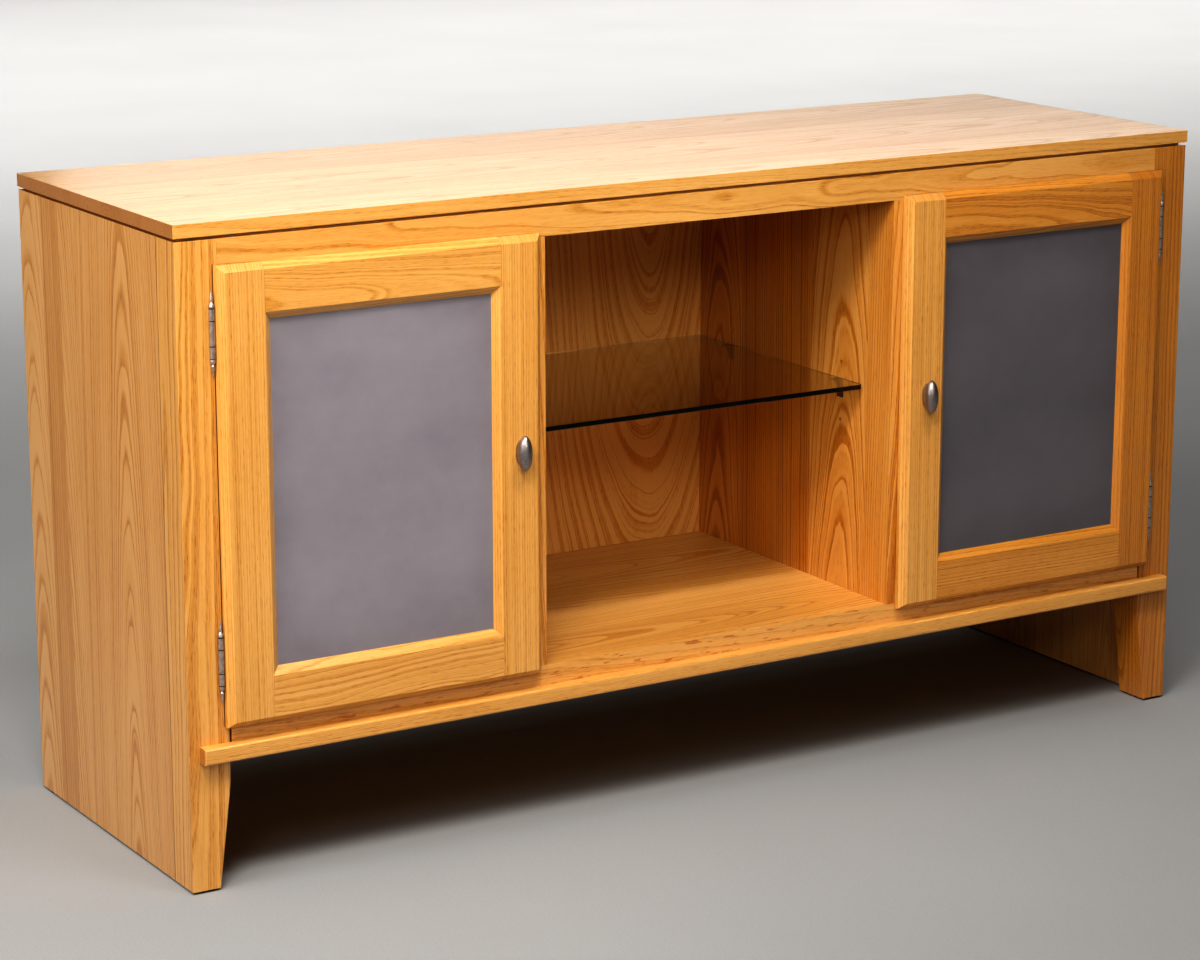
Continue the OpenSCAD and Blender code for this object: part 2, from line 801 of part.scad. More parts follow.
top_panel();
side_panel(-1);  // left_side_panel
side_panel(1);  // right_side_panel
front_post(-1);  // left_front_post
front_post(1);  // right_front_post
top_rail();
back_top_rail();
deck_panel();
deck_rail();
back_deck_rail();
ledge_moulding();
partition(-1);  // left_partition
partition(1);  // right_partition
back_panel();
cleat_at(-1, top_z);  // left_top_cleat
cleat_at(1, top_z);  // right_top_cleat
cleat_at(-1, deck_under);  // left_deck_cleat
cleat_at(1, deck_under);  // right_deck_cleat
cleat_screws();
back_panel_screws();
floor_glides();
glass_shelf();
cupboard_shelf(-1);  // left_cupboard_shelf
cupboard_shelf(1);  // right_cupboard_shelf
shelf_supports();
catch_housing(-1);  // left_catch_housing
catch_housing(1);  // right_catch_housing
catch_magnets();
frame_leaf(-1, hinge_upper_z);  // left_upper_frame_leaf
frame_leaf(-1, hinge_lower_z);  // left_lower_frame_leaf
frame_leaf(1, hinge_upper_z);  // right_upper_frame_leaf
frame_leaf(1, hinge_lower_z);  // right_lower_frame_leaf
hinge_pins();
carcass_hardware_screws();
door_stile(-1, -1);  // left_door_hinge_stile
door_stile(-1, 1);  // left_door_knob_stile
door_rail(-1, -1);  // left_door_top_rail
door_rail(-1, 1);  // left_door_bottom_rail
door_glass(-1);  // left_door_glass
glass_beads(-1);  // left_door_glass_beads
knob(-1);  // left_knob
knob_screw(-1);  // left_knob_screw
door_leaf(-1, hinge_upper_z);  // left_upper_door_leaf
door_leaf(-1, hinge_lower_z);  // left_lower_door_leaf
door_screws(-1);  // left_door_screws
strike_plate(-1);  // left_strike_plate
bumpers(-1);  // left_bumpers
door_stile(1, -1);  // right_door_hinge_stile
door_stile(1, 1);  // right_door_knob_stile
door_rail(1, -1);  // right_door_top_rail
door_rail(1, 1);  // right_door_bottom_rail
door_glass(1);  // right_door_glass
glass_beads(1);  // right_door_glass_beads
knob(1);  // right_knob
knob_screw(1);  // right_knob_screw
door_leaf(1, hinge_upper_z);  // right_upper_door_leaf
door_leaf(1, hinge_lower_z);  // right_lower_door_leaf
door_screws(1);  // right_door_screws
strike_plate(1);  // right_strike_plate
bumpers(1);  // right_bumpers
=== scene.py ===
"""Looks of a low wooden media console: lacquered ash, frosted doors, a glass shelf and nickel hardware.

Everything is in metres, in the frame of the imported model: the doors face -Y and the floor is z = 0.
"""

import json
import math

import bmesh
import bpy
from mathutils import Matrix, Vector

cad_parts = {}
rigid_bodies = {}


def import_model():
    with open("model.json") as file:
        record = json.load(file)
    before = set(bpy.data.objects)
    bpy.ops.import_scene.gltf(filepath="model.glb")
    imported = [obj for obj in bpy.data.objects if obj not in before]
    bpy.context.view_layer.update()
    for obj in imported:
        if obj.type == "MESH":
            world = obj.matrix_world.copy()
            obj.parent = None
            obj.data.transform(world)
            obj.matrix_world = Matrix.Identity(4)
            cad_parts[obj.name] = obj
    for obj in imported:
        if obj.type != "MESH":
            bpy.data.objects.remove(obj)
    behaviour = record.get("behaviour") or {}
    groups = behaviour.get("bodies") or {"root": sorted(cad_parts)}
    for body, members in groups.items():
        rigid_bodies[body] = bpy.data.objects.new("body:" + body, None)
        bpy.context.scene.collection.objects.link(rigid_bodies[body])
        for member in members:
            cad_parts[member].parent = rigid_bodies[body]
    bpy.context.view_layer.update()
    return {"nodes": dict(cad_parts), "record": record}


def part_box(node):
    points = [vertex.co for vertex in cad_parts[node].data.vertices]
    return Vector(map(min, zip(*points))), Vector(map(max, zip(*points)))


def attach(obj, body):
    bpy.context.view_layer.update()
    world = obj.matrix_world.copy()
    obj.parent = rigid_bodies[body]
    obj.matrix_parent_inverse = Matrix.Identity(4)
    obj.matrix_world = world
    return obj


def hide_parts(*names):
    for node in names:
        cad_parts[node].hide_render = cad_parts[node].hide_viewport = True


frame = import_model()

MM = 0.001
WHITE = (1.0, 1.0, 1.0)
NODES = frame["nodes"]
SLOT_OF = {part["node"]: part["material_slot"] for part in frame["record"]["subparts"]}


# ---- node helpers ----


class Graph:
    """A material and short calls for the nodes used here. Sockets go in and come out."""

    def __init__(self, name):
        self.material = bpy.data.materials.new(name)
        self.material.use_nodes = True
        self.tree = self.material.node_tree
        self.shader = self.tree.nodes["Principled BSDF"]

    def feed(self, socket, value):
        if isinstance(value, bpy.types.NodeSocket):
            self.tree.links.new(value, socket)
        else:
            socket.default_value = value

    def node(self, kind, inputs=None, **settings):
        made = self.tree.nodes.new("ShaderNode" + kind)
        for key, value in settings.items():
            setattr(made, key, value)
        for key, value in (inputs or {}).items():
            self.feed(made.inputs[key], value)
        return made

    def math(self, operation, a, b=0.0, clamp=False):
        return self.node("Math", {0: a, 1: b}, operation=operation, use_clamp=clamp).outputs[0]

    def add(self, first, *others):
        for other in others:
            first = self.math("ADD", first, other)
        return first

    def scaled(self, socket, gain, centre=0.0):
        """(socket - centre) * gain"""
        inputs = {0: socket, 1: gain, 2: -centre * gain}
        return self.node("Math", inputs, operation="MULTIPLY_ADD").outputs[0]

    def near(self, socket, place, reach):
        """1 where the socket is within reach of place, and 0 elsewhere."""
        return self.node("Math", {0: socket, 1: place, 2: reach}, operation="COMPARE").outputs[0]

    def noise(self, vector, scale=1.0, detail=2.0, roughness=0.5):
        inputs = {"Vector": vector, "Scale": scale, "Detail": detail, "Roughness": roughness}
        return self.node("TexNoise", inputs).outputs["Fac"]

    def ramp(self, factor, stops, interpolation="LINEAR"):
        """Stops are (position, grey) or (position, (r, g, b))."""
        made = self.node("ValToRGB", {"Fac": factor})
        made.color_ramp.interpolation = interpolation
        elements = made.color_ramp.elements
        while len(elements) > 1:
            elements.remove(elements[-1])
        for i, (position, colour) in enumerate(stops):
            element = elements[0] if i == 0 else elements.new(position)
            element.position = position
            rgb = (colour,) * 3 if isinstance(colour, (int, float)) else colour
            element.color = (*rgb, 1.0)
        return made.outputs["Color"]

    def mix(self, factor, a, b, blend="MIX"):
        made = self.node("Mix", {"Factor": factor}, data_type="RGBA", blend_type=blend)
        self.feed(made.inputs[6], a if isinstance(a, bpy.types.NodeSocket) else (*a, 1.0))
        self.feed(made.inputs[7], b if isinstance(b, bpy.types.NodeSocket) else (*b, 1.0))
        return made.outputs[2]

    def bump(self, height, depth, strength=1.0):
        made = self.node("Bump", {"Height": height, "Distance": depth, "Strength": strength})
        self.feed(self.shader.inputs["Normal"], made.outputs["Normal"])

    def set(self, **values):
        """Shader inputs by name, with _ for a space."""
        for key, value in values.items():
            name = key.replace("_", " ")
            value = (*value, 1.0) if isinstance(value, tuple) and len(value) == 3 else value
            self.feed(self.shader.inputs[name], value)

    def place(self):
        """Object coordinates in metres: they stay with the piece when it moves."""
        return self.node("TexCoord")


# ---- wood ----

# Each tone is the colour of the palest wood, the middle and the darkest growth line.
HONEY = ((0.80, 0.440, 0.140), (0.66, 0.305, 0.056), (0.39, 0.122, 0.011))
TAN = ((0.74, 0.400, 0.140), (0.62, 0.285, 0.064), (0.37, 0.125, 0.015))
AMBER = ((0.80, 0.410, 0.110), (0.64, 0.240, 0.026), (0.34, 0.080, 0.005))
RUSSET = ((0.78, 0.420, 0.120), (0.63, 0.262, 0.036), (0.35, 0.096, 0.007))
BARE = ((0.80, 0.62, 0.38), (0.70, 0.50, 0.28), (0.52, 0.34, 0.17))
# Colour of the dark lines along the grain: real joint lines, and painted shadow lines at the door edges.
JOINT_AND_SHADOW_LINE = (0.05, 0.014, 0.003)
RUBBED = (0.62, 0.36, 0.16)
END_GRAIN = (0.56, 0.42, 0.34)
DARK_LINE_REACH = 0.7 * MM
AXES = "xyz"
LOG_SPAN = 2000.0
FIGURE, FIBRES, CLOUDS = 0.50, 0.42, 0.36
GROWTH_YEAR = [(0.0, 0.95), (0.10, 0.90), (0.30, 0.38), (0.55, 0.08), (0.88, 0.06), (1.0, 0.95)]


def glued_boards(g, across, boards):
    """For a panel of boards: the pith across and deep, the shade and a number that differs by board."""
    first, last = boards[0][0] * MM, boards[-1] * MM
    stops = []
    for place, log_across, log_deep, darker in boards[:-1]:
        log = (0.5 + log_across / LOG_SPAN, 0.5 + log_deep / LOG_SPAN, 0.5 + darker)
        stops.append(((place * MM - first) / (last - first), log))
    packed = g.ramp(g.scaled(across, 1 / (last - first), first), stops, "CONSTANT")
    board = g.node("SeparateColor", {0: packed}).outputs
    log_across, log_deep = (g.scaled(board[i], LOG_SPAN * MM, 0.5) for i in (0, 1))
    return log_across, log_deep, g.scaled(board[2], 1.0, 0.5), g.scaled(board[0], 23.0)


def rubbed(g, colour, rub, scuffs):
    """Darker patches where the lacquer is worn through."""
    frame_shade_parts = g.mix(1.0, colour, RUBBED, "MULTIPLY")
    return g.mix(g.ramp(rub, [(0.60, 0.0), (0.66, scuffs)]), colour, frame_shade_parts)


def joints_and_painted_shadows(g, colour, joint_and_shadow_lines, across, along):
    """Dark lines along the grain: real joint lines, and painted shadow lines where a door edge shades a
    post.
    """
    for place, strength, start, end in joint_and_shadow_lines:
        gap = g.near(across, place * MM, DARK_LINE_REACH)
        stretch = g.near(along, (start + end) / 2 * MM, (end - start) / 2 * MM)
        line_darkening = g.scaled(g.math("MULTIPLY", gap, stretch), strength)
        colour = g.mix(line_darkening, colour, JOINT_AND_SHADOW_LINE)
    return colour


def darker_ends(g, colour, facing):
    """End grain drinks more stain. facing is the surface's direction along the grain."""
    end_grain = g.math("POWER", g.math("ABSOLUTE", facing), 6.0)
    ends = g.mix(1.0, colour, END_GRAIN, "MULTIPLY")
    return g.mix(g.scaled(end_grain, 0.85), colour, ends)


def wood(name, grain, face, pith=(0.0, 0.0), lean=(0.0, 0.03), ring=5.0, swirl=7.0, tone=HONEY, lines=0.8,
         boards=None, leaf=None, joint_and_shadow_lines=(), shade=0.0, seed=0.0, scuffs=0.0):
    """Lacquered ash cut from a log with cylindrical growth rings, so that every face shows its own cut.

    grain and face are the axes along the grain and out of the main face. pith is the log's centre line,
    (across, deep) in mm at the frame's origin, lean how far the line drifts per unit of length, ring the
    width of a ring in mm and swirl the size of its waves in mm. boards are the glued boards of a wide
    panel, each (start across, pith across, pith deep, darker by), with the panel's end last. leaf is
    (start, width) in mm of veneer leaves laid as mirror images, joint_and_shadow_lines are dark lines
    along the grain at real joints and as painted shadow where a door edge shades a post, each (place,
    strength, start, end along the grain), and scuffs is how much the lacquer is rubbed.
    """
    g = Graph(name)
    coord = g.place()
    parts = g.node("SeparateXYZ", {0: coord.outputs["Object"]}).outputs
    along = parts[AXES.index(grain)]
    across = true_across = parts[next(i for i, a in enumerate(AXES) if a not in (grain, face))]
    deep = parts[AXES.index(face)]
    fleck_along = g.math("ADD", along, seed)
    pith_across, pith_deep = pith[0] * MM, pith[1] * MM
    board_shade = shade
    if leaf:
        start, width = leaf[0] * MM, leaf[1] * MM
        folded = g.math("PINGPONG", g.scaled(across, 1.0, start), width)
        across = g.math("ADD", folded, start)
    if boards:
        pith_across, pith_deep, darker, offset = glued_boards(g, across, boards)
        board_shade = g.add(darker, shade)
        fleck_along = g.add(fleck_along, offset)

    def stretched(length, width):
        """Coordinates in which noise features have this length and width in mm."""
        return g.node("CombineXYZ", {
            0: g.scaled(fleck_along, 1 / (length * MM)),
            1: g.scaled(across, 1 / (width * MM)),
            2: g.scaled(deep, 1 / (width * MM)),
        }).outputs[0]

    slow = g.noise(stretched(420, 110), detail=1.0)
    wave = g.noise(stretched(130, 70), detail=1.0)
    ripple = g.noise(stretched(30, 9), detail=2.0)
    drift = g.add(g.scaled(along, lean[0]), g.scaled(slow, 2 * swirl * MM, 0.5))
    v = g.add(g.math("SUBTRACT", across, pith_across), drift)
    drift = g.add(g.scaled(along, lean[1]), g.scaled(wave, swirl * MM, 0.5))
    w = g.add(g.math("SUBTRACT", deep, pith_deep), drift)
    radius = g.math("SQRT", g.add(g.math("MULTIPLY", v, v), g.math("MULTIPLY", w, w)))
    radius = g.add(radius, g.scaled(ripple, 0.9 * MM, 0.5))
    years = g.node("TexNoise", {"W": g.scaled(radius, 60.0), "Detail": 1.0}, noise_dimensions="1D")
    count = g.add(g.scaled(radius, 1 / (ring * MM)), g.scaled(years.outputs["Fac"], 1.4))
    line = g.ramp(g.math("FRACT", count), GROWTH_YEAR)
    fibre = g.noise(stretched(90, 1.6), detail=3.0, roughness=0.65)
    pore = g.ramp(g.noise(stretched(14, 0.7), detail=1.0), [(0.56, 0.0), (0.66, 1.0)])
    cloud = g.noise(stretched(300, 45), detail=2.0)
    dark = g.add(
        g.scaled(line, FIGURE * lines), g.scaled(fibre, FIBRES, 0.5), g.scaled(cloud, CLOUDS, 0.5),
        g.math("MULTIPLY", pore, g.add(g.scaled(line, 0.35), 0.12)), board_shade,
    )
    dark = g.math("ADD", dark, 0.14, clamp=True)
    light_tone, mid_tone, dark_tone = tone
    colour = g.ramp(dark, [(0.0, light_tone), (0.42, mid_tone), (1.0, dark_tone)])
    if scuffs:
        colour = rubbed(g, colour, g.noise(stretched(38, 7), detail=3.0, roughness=0.65), scuffs)
    colour = joints_and_painted_shadows(g, colour, joint_and_shadow_lines, true_across, along)
    facing = g.node("SeparateXYZ", {0: coord.outputs["Normal"]}).outputs
    colour = darker_ends(g, colour, facing[AXES.index(grain)])
    g.set(Base_Color=colour, Specular_IOR_Level=0.5, Coat_Weight=0.6, Coat_Roughness=0.2)
    g.set(Roughness=g.add(g.scaled(fibre, 0.16, 0.5), g.scaled(line, 0.08), 0.36))
    g.bump(g.add(g.scaled(line, -0.5), g.scaled(pore, -0.5), g.scaled(fibre, 0.3)), 0.16 * MM, 0.5)
    return g.material


# ---- other finishes ----

# Colour and reach of the painted shade rings in the hinge knuckle gaps.
KNUCKLE_GAP_SHADE = (0.015, 0.012, 0.010)
KNUCKLE_GAP_REACH = 0.55 * MM


def frosted_glass(name, node, pane_tone_and_shade):
    """Etched glass with a chalky film, darker towards the frame as painted shade from the frame.

    pane_tone_and_shade is how pale the film is; the right pane's low value is painted shade.
    """
    g = Graph(name)
    at = g.place().outputs["Object"]
    low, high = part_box(node)
    parts = g.node("SeparateXYZ", {0: at}).outputs
    # Painted shade: the film thins, so the pane darkens, towards the frame that shades it.
    frame_shade_parts = []
    for axis, socket in ((0, parts[0]), (2, parts[2])):
        middle, half = (low[axis] + high[axis]) / 2, (high[axis] - low[axis]) / 2
        offset = g.math("ABSOLUTE", g.scaled(socket, 1 / half, middle))
        frame_shade_parts.append(g.ramp(offset, [(0.70, 0.0), (0.96, 1.0)], "EASE"))
    painted_frame_shade = g.math("MAXIMUM", *frame_shade_parts)
    cloud = g.noise(at, 6.0, 4.0, 0.6)
    streak = g.noise(g.node("Mapping", {0: at, 3: (3.0, 1.0, 16.0)}).outputs[0], 1.0, 3.0)
    haze = g.noise(at, 60.0, 3.0, 0.6)
    film = g.add(g.scaled(cloud, 0.75, 0.5), g.scaled(streak, 0.35, 0.5), g.scaled(haze, 0.15, 0.5))
    film = g.add(film, g.scaled(painted_frame_shade, -0.14), 0.5)
    thin = tuple(pane_tone_and_shade * c for c in (0.275, 0.240, 0.258))
    thick = tuple(pane_tone_and_shade * c for c in (0.425, 0.380, 0.400))
    g.set(Base_Color=g.ramp(film, [(0.2, thin), (0.8, thick)]))
    g.set(Roughness=g.scaled(film, 0.16, -2.4), IOR=1.5, Transmission_Weight=0.25, Specular_IOR_Level=0.5)
    g.bump(g.noise(at, 900.0, 1.0), 0.02 * MM, 0.25)
    return g.material


def clear_glass():
    g = Graph("clear_glass")
    smear = g.noise(g.place().outputs["Object"], 7.0, 3.0)
    g.set(Base_Color=(0.86, 0.95, 0.90), Roughness=g.ramp(smear, [(0.45, 0.0), (0.75, 0.05)]))
    g.set(IOR=1.5, Transmission_Weight=1.0)
    return g.material


def glass_edge():
    g = Graph("glass_edge")
    shade = g.noise(g.place().outputs["Object"], 14.0, 3.0)
    g.set(Base_Color=g.ramp(shade, [(0.3, (0.006, 0.016, 0.012)), (0.75, (0.02, 0.05, 0.038))]))
    g.set(Roughness=g.scaled(shade, 0.2, -0.4), IOR=1.5, Transmission_Weight=0.3)
    return g.material


def metal(name, bright, dull, rough, streak=(1.0, 1.0, 0.08), grime=0.5, rings=()):
    """Brushed or cast metal: worn bright patches and dull tarnish, with fine lines along one axis.

    rings are heights at which a narrow dark ring is painted as shade in a knuckle gap.
    """
    g = Graph(name)
    at = g.place().outputs["Object"]
    lines = g.noise(g.node("Mapping", {"Vector": at, "Scale": streak}).outputs[0], 2600.0, 2.0)
    patch = g.noise(at, 240.0, 3.0, 0.6)
    fine = g.noise(at, 1500.0, 2.0)
    blend = g.add(g.scaled(patch, grime, 0.5), g.scaled(lines, 0.25, 0.5), g.scaled(fine, 0.2, 0.5), 0.5)
    colour = g.ramp(blend, [(0.25, bright), (0.75, dull)])
    # Painted shade: a narrow dark ring at each knuckle joint, where the gap between knuckles is shaded.
    for height in rings:
        ring = g.near(g.node("SeparateXYZ", {0: at}).outputs[2], height, KNUCKLE_GAP_REACH)
        colour = g.mix(ring, colour, KNUCKLE_GAP_SHADE)
    g.set(Base_Color=colour, Metallic=1.0)
    g.set(Roughness=g.scaled(blend, 0.22, 0.5 - rough / 0.22))
    g.bump(g.add(lines, fine), 0.03 * MM, 0.4)
    return g.material


def moulded(name, colour, rough, fleck=0.25):
    """Plastic or rubber with a fine spark-eroded surface."""
    g = Graph(name)
    at = g.place().outputs["Object"]
    patch = g.noise(at, 60.0, 3.0)
    grain = g.noise(at, 2500.0, 2.0)
    low = tuple(c * (1 - fleck) for c in colour)
    high = tuple(min(1.0, c * (1 + fleck)) for c in colour)
    g.set(Base_Color=g.ramp(patch, [(0.3, low), (0.7, high)]))
    g.set(Roughness=g.scaled(grain, 0.2, 0.5 - rough / 0.2))
    g.bump(grain, 0.05 * MM, 0.3)
    return g.material


# ---- what each CAD node is made of ----

CLOSE_FITTED = ("top_panel", "left_side_panel", "right_side_panel", "top_rail")
FITTED_ARRIS, ARRIS = 0.25 * MM, 0.5 * MM
DOOR_LOW, DOOR_HIGH = (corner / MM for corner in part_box("left_door_hinge_stile"))
POST_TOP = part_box("left_front_post")[1] / MM
JOINT_AND_SHADOW_DARKNESS = 0.9
POST_JOINT = (POST_TOP.y, JOINT_AND_SHADOW_DARKNESS, 0, POST_TOP.z)
# Painted shadow: a dark line on each front post along the door's outer edge, where the gap behind the door
# is shaded.
DOOR_EDGE_SHADOWS = {
    "left": (DOOR_LOW.x + 0.5, JOINT_AND_SHADOW_DARKNESS, DOOR_LOW.z, DOOR_HIGH.z),
    "right": (-DOOR_LOW.x - 0.5, JOINT_AND_SHADOW_DARKNESS, DOOR_LOW.z, DOOR_HIGH.z),
}
BACK_PANEL_LEAVES = (-2, 360)
WOODS = {
    "top_panel": dict(
        grain="x", face="z", lean=(0.0, 0.04), ring=6.0, swirl=8, seed=2.3, lines=0.4,
        boards=((-218, -190, 770, 0.0), (-128, -30, 760, 0.04), (-12, 30, 775, -0.03),
                (84, 190, 760, 0.03), (176, 205, 780, -0.02), 254)),
    "left_side_panel": dict(
        grain="z", face="x", lean=(0.0, -0.05), ring=3.6, swirl=4, tone=TAN, seed=5.1, lines=1.1,
        boards=((-165, -58, -728, -0.02), (80, 150, -710, -0.06), (129, 330, -740, 0.16),
                (183, 228, -700, -0.16), 254), joint_and_shadow_lines=[POST_JOINT]),
    "right_side_panel": dict(
        grain="z", face="x", lean=(0.0, 0.05), ring=3.6, swirl=4, tone=TAN, seed=8.4, lines=0.9,
        boards=((-165, -110, 735, 0.03), (-52, 120, 700, -0.03), (48, 95, 730, 0.05),
                (150, 320, 715, -0.02), 254), joint_and_shadow_lines=[POST_JOINT]),
    "left_front_post": dict(
        grain="z", face="y", pith=(-765, -158), lean=(0.02, 0.03), ring=10.0, swirl=10, seed=0.7,
        lines=0.9, joint_and_shadow_lines=[DOOR_EDGE_SHADOWS["left"]]),
    # Russet tone and shade 0.34 on the right post: partly the wood's own tone, partly painted shade for
    # the dimmer right end.
    "right_front_post": dict(
        grain="z", face="y", pith=(700, -170), lean=(0.02, 0.03), ring=6.0, swirl=7, seed=3.9,
        tone=RUSSET, shade=0.34, joint_and_shadow_lines=[DOOR_EDGE_SHADOWS["right"]]),
    "top_rail": dict(
        grain="x", face="y", pith=(792, -170), lean=(0.012, 0.02), ring=6.0, swirl=9, seed=1.1),
    "deck_rail": dict(
        grain="x", face="y", pith=(240, -120), lean=(0.01, 0.02), ring=4.0, swirl=5, seed=4.1,
        lines=0.5, scuffs=0.8),
    "ledge_moulding": dict(
        grain="x", face="y", pith=(250, -280), lean=(0.01, 0.01), ring=4.0, swirl=4, seed=6.2,
        lines=0.4, shade=0.04),
    "back_top_rail": dict(grain="x", face="y", pith=(700, 160), tone=BARE, seed=1.9),
    "back_deck_rail": dict(grain="x", face="y", pith=(120, 160), tone=BARE, seed=2.9),
    "deck_panel": dict(
        grain="x", face="z", lean=(0.0, 0.05), ring=5.0, swirl=7, seed=7.7, lines=1.0,
        boards=((-197, -150, 170, 0.02), (-108, 90, 120, -0.12), (-10, -60, 60, 0.0),
                (92, 135, 160, -0.06), (170, 20, 130, 0.0), 245)),
    "left_partition": dict(
        grain="z", face="x", lean=(0.0, 0.06), ring=5.0, swirl=7, tone=AMBER, seed=9.3, lines=1.1,
        boards=((-216, -330, -300, -0.08), (-150, -100, -330, 0.0), (-40, 150, -310, 0.10),
                (60, 105, -325, 0.0), (150, 360, -330, 0.08), 245)),
    "right_partition": dict(
        grain="z", face="x", lean=(0.0, -0.06), ring=5.0, swirl=7, tone=AMBER, seed=3.3, lines=1.1,
        boards=((-216, -330, 290, -0.04), (-163, -105, 325, -0.10), (-33, 220, 300, 0.20),
                (98, 320, 330, 0.30), (136, 195, 315, 0.10), 245)),
    "back_panel": dict(
        grain="z", face="y", pith=(178, 69), lean=(0.0, -0.22), ring=10.0, swirl=9, tone=AMBER,
        seed=6.6, lines=1.0, shade=-0.26, leaf=BACK_PANEL_LEAVES),
    "left_cupboard_shelf": dict(grain="x", face="z", pith=(0, 430), tone=AMBER, seed=1.5),
    "right_cupboard_shelf": dict(grain="x", face="z", pith=(0, 430), tone=AMBER, seed=2.5),
}
# On the right door (s = 1) the hinge stile and rails get RUSSET and a larger shade: partly the wood's own
# tone, partly painted shade for the dimmer right end of the front.
for side, s, frame_tone_and_shade in (("left", -1, HONEY), ("right", 1, RUSSET)):
    WOODS[f"{side}_top_cleat"] = dict(grain="y", face="z", pith=(s * 700, 700), tone=BARE, seed=1.0 + s)
    WOODS[f"{side}_deck_cleat"] = dict(grain="y", face="z", pith=(s * 700, 100), tone=BARE, seed=2.0 + s)
    WOODS[f"{side}_door_hinge_stile"] = dict(
        grain="z", face="y", pith=(s * 560, -250), lean=(0.004, 0.0), ring=3.6, swirl=1.2, lines=0.7,
        seed=4.4 + s, shade=0.16 + 0.16 * s, tone=frame_tone_and_shade)
    WOODS[f"{side}_door_knob_stile"] = dict(
        grain="z", face="y", pith=(s * 470, -235), lean=(0.004, 0.0), ring=3.8, swirl=1.4, lines=0.7,
        seed=6.4 + s)
    WOODS[f"{side}_door_top_rail"] = dict(
        grain="x", face="y", pith=(702, -290), lean=(0.02, 0.04), ring=7.0, swirl=10, lines=0.65,
        seed=0.4 + s, shade=0.10 + 0.08 * s, tone=frame_tone_and_shade)
    WOODS[f"{side}_door_bottom_rail"] = dict(
        grain="x", face="y", pith=(185, -205), lean=(0.03, 0.04), ring=5.0, swirl=12,
        seed=2.2 + s, shade=0.08 + 0.06 * s, tone=frame_tone_and_shade)
    WOODS[f"{side}_door_glass_beads"] = dict(
        grain="z", face="y", pith=(s * 400, -200), ring=3.0, swirl=2, seed=5.5 + s)

NICKEL_BRIGHT = (0.52, 0.46, 0.435)
NICKEL_DULL = (0.22, 0.18, 0.165)
HINGE_BRIGHT = (0.78, 0.69, 0.65)
HINGE_DULL = (0.36, 0.30, 0.27)
KNUCKLE_JOINTS = []
for leaf in ("left_upper_door_leaf", "left_lower_door_leaf"):
    foot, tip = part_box(leaf)[0].z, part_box(leaf)[1].z
    KNUCKLE_JOINTS += [foot + share * (tip - foot) for share in (0.0, 0.25, 0.75, 1.0)]
# The right pane's lower tone is painted shade for the dimmer right end of the front.
PANES = {
    "left_door_glass": frosted_glass("left_frosted_glass", "left_door_glass", 1.04),
    "right_door_glass": frosted_glass("right_frosted_glass", "right_door_glass", 0.50),
}
FINISHES = {
    "shelf_glass": clear_glass(),
    "aged_nickel": metal("aged_nickel", NICKEL_BRIGHT, NICKEL_DULL, 0.42),
    "hinge_nickel": metal("hinge_nickel", HINGE_BRIGHT, HINGE_DULL, 0.46, grime=0.9, rings=KNUCKLE_JOINTS),
    "zinc_steel": metal("zinc_steel", (0.72, 0.72, 0.70), (0.42, 0.42, 0.42), 0.3),
    "pole_steel": metal("pole_steel", (0.42, 0.42, 0.43), (0.2, 0.2, 0.21), 0.4),
    "brown_plastic": moulded("brown_plastic", (0.12, 0.065, 0.035), 0.5),
    "bumper_rubber": moulded("bumper_rubber", (0.62, 0.62, 0.60), 0.35, 0.05),
    "glide_plastic": moulded("glide_plastic", (0.03, 0.03, 0.03), 0.6),
}


def dress(piece, material):
    piece.data.materials.clear()
    piece.data.materials.append(material)


def ease(piece, width):
    """Softens a board's arrises. Flat faces are joined first, so that only true edges are rounded."""
    weld = piece.modifiers.new("weld", "WELD")
    weld.merge_threshold = 0.01 * MM
    flat = piece.modifiers.new("flat", "DECIMATE")
    flat.decimate_type = "DISSOLVE"
    flat.angle_limit = math.radians(0.3)
    bevel = piece.modifiers.new("arris", "BEVEL")
    bevel.width = width
    bevel.segments = 2
    bevel.limit_method = "ANGLE"
    bevel.angle_limit = math.radians(35)
    bevel.use_clamp_overlap = False
    normals = piece.modifiers.new("normals", "WEIGHTED_NORMAL")
    normals.keep_sharp = True


for node_name, piece in NODES.items():
    if node_name in WOODS:
        dress(piece, wood(node_name + "_wood", **WOODS[node_name]))
        ease(piece, FITTED_ARRIS if node_name in CLOSE_FITTED else ARRIS)
    elif node_name in PANES:
        dress(piece, PANES[node_name])
    elif node_name.endswith(("frame_leaf", "door_leaf")) or node_name == "hinge_pins":
        dress(piece, FINISHES["hinge_nickel"])
    else:
        dress(piece, FINISHES[SLOT_OF[node_name]])


# ---- pieces that replace a CAD node ----


def piece_from(mesh, name, node, body):
    data = bpy.data.meshes.new(name)
    bmesh.ops.recalc_face_normals(mesh, faces=mesh.faces)
    mesh.to_mesh(data)
    mesh.free()
    made = bpy.data.objects.new(name, data)
    bpy.context.scene.collection.objects.link(made)
    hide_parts(node)
    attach(made, body)
    return made


KNOB_FOOT_AND_NECK = [
    (0.0, 0.80, 0.71), (0.05, 0.82, 0.73), (0.10, 0.80, 0.72), (0.18, 0.76, 0.70),
    (0.26, 0.79, 0.75), (0.36, 0.88, 0.86), (0.44, 0.965, 0.96), (0.48, 0.995, 0.995),
]
KNOB_RIM = 0.52
KNOB_DOME_STEPS = 7


def knob_profile():
    """Rings from the door outwards, each (way out, width, height) as shares of the knob's box."""
    dome = []
    for step in range(KNOB_DOME_STEPS):
        angle = math.radians(90) * step / KNOB_DOME_STEPS
        dome.append((KNOB_RIM + (1 - KNOB_RIM) * math.sin(angle), math.cos(angle), math.cos(angle)))
    return KNOB_FOOT_AND_NECK + dome


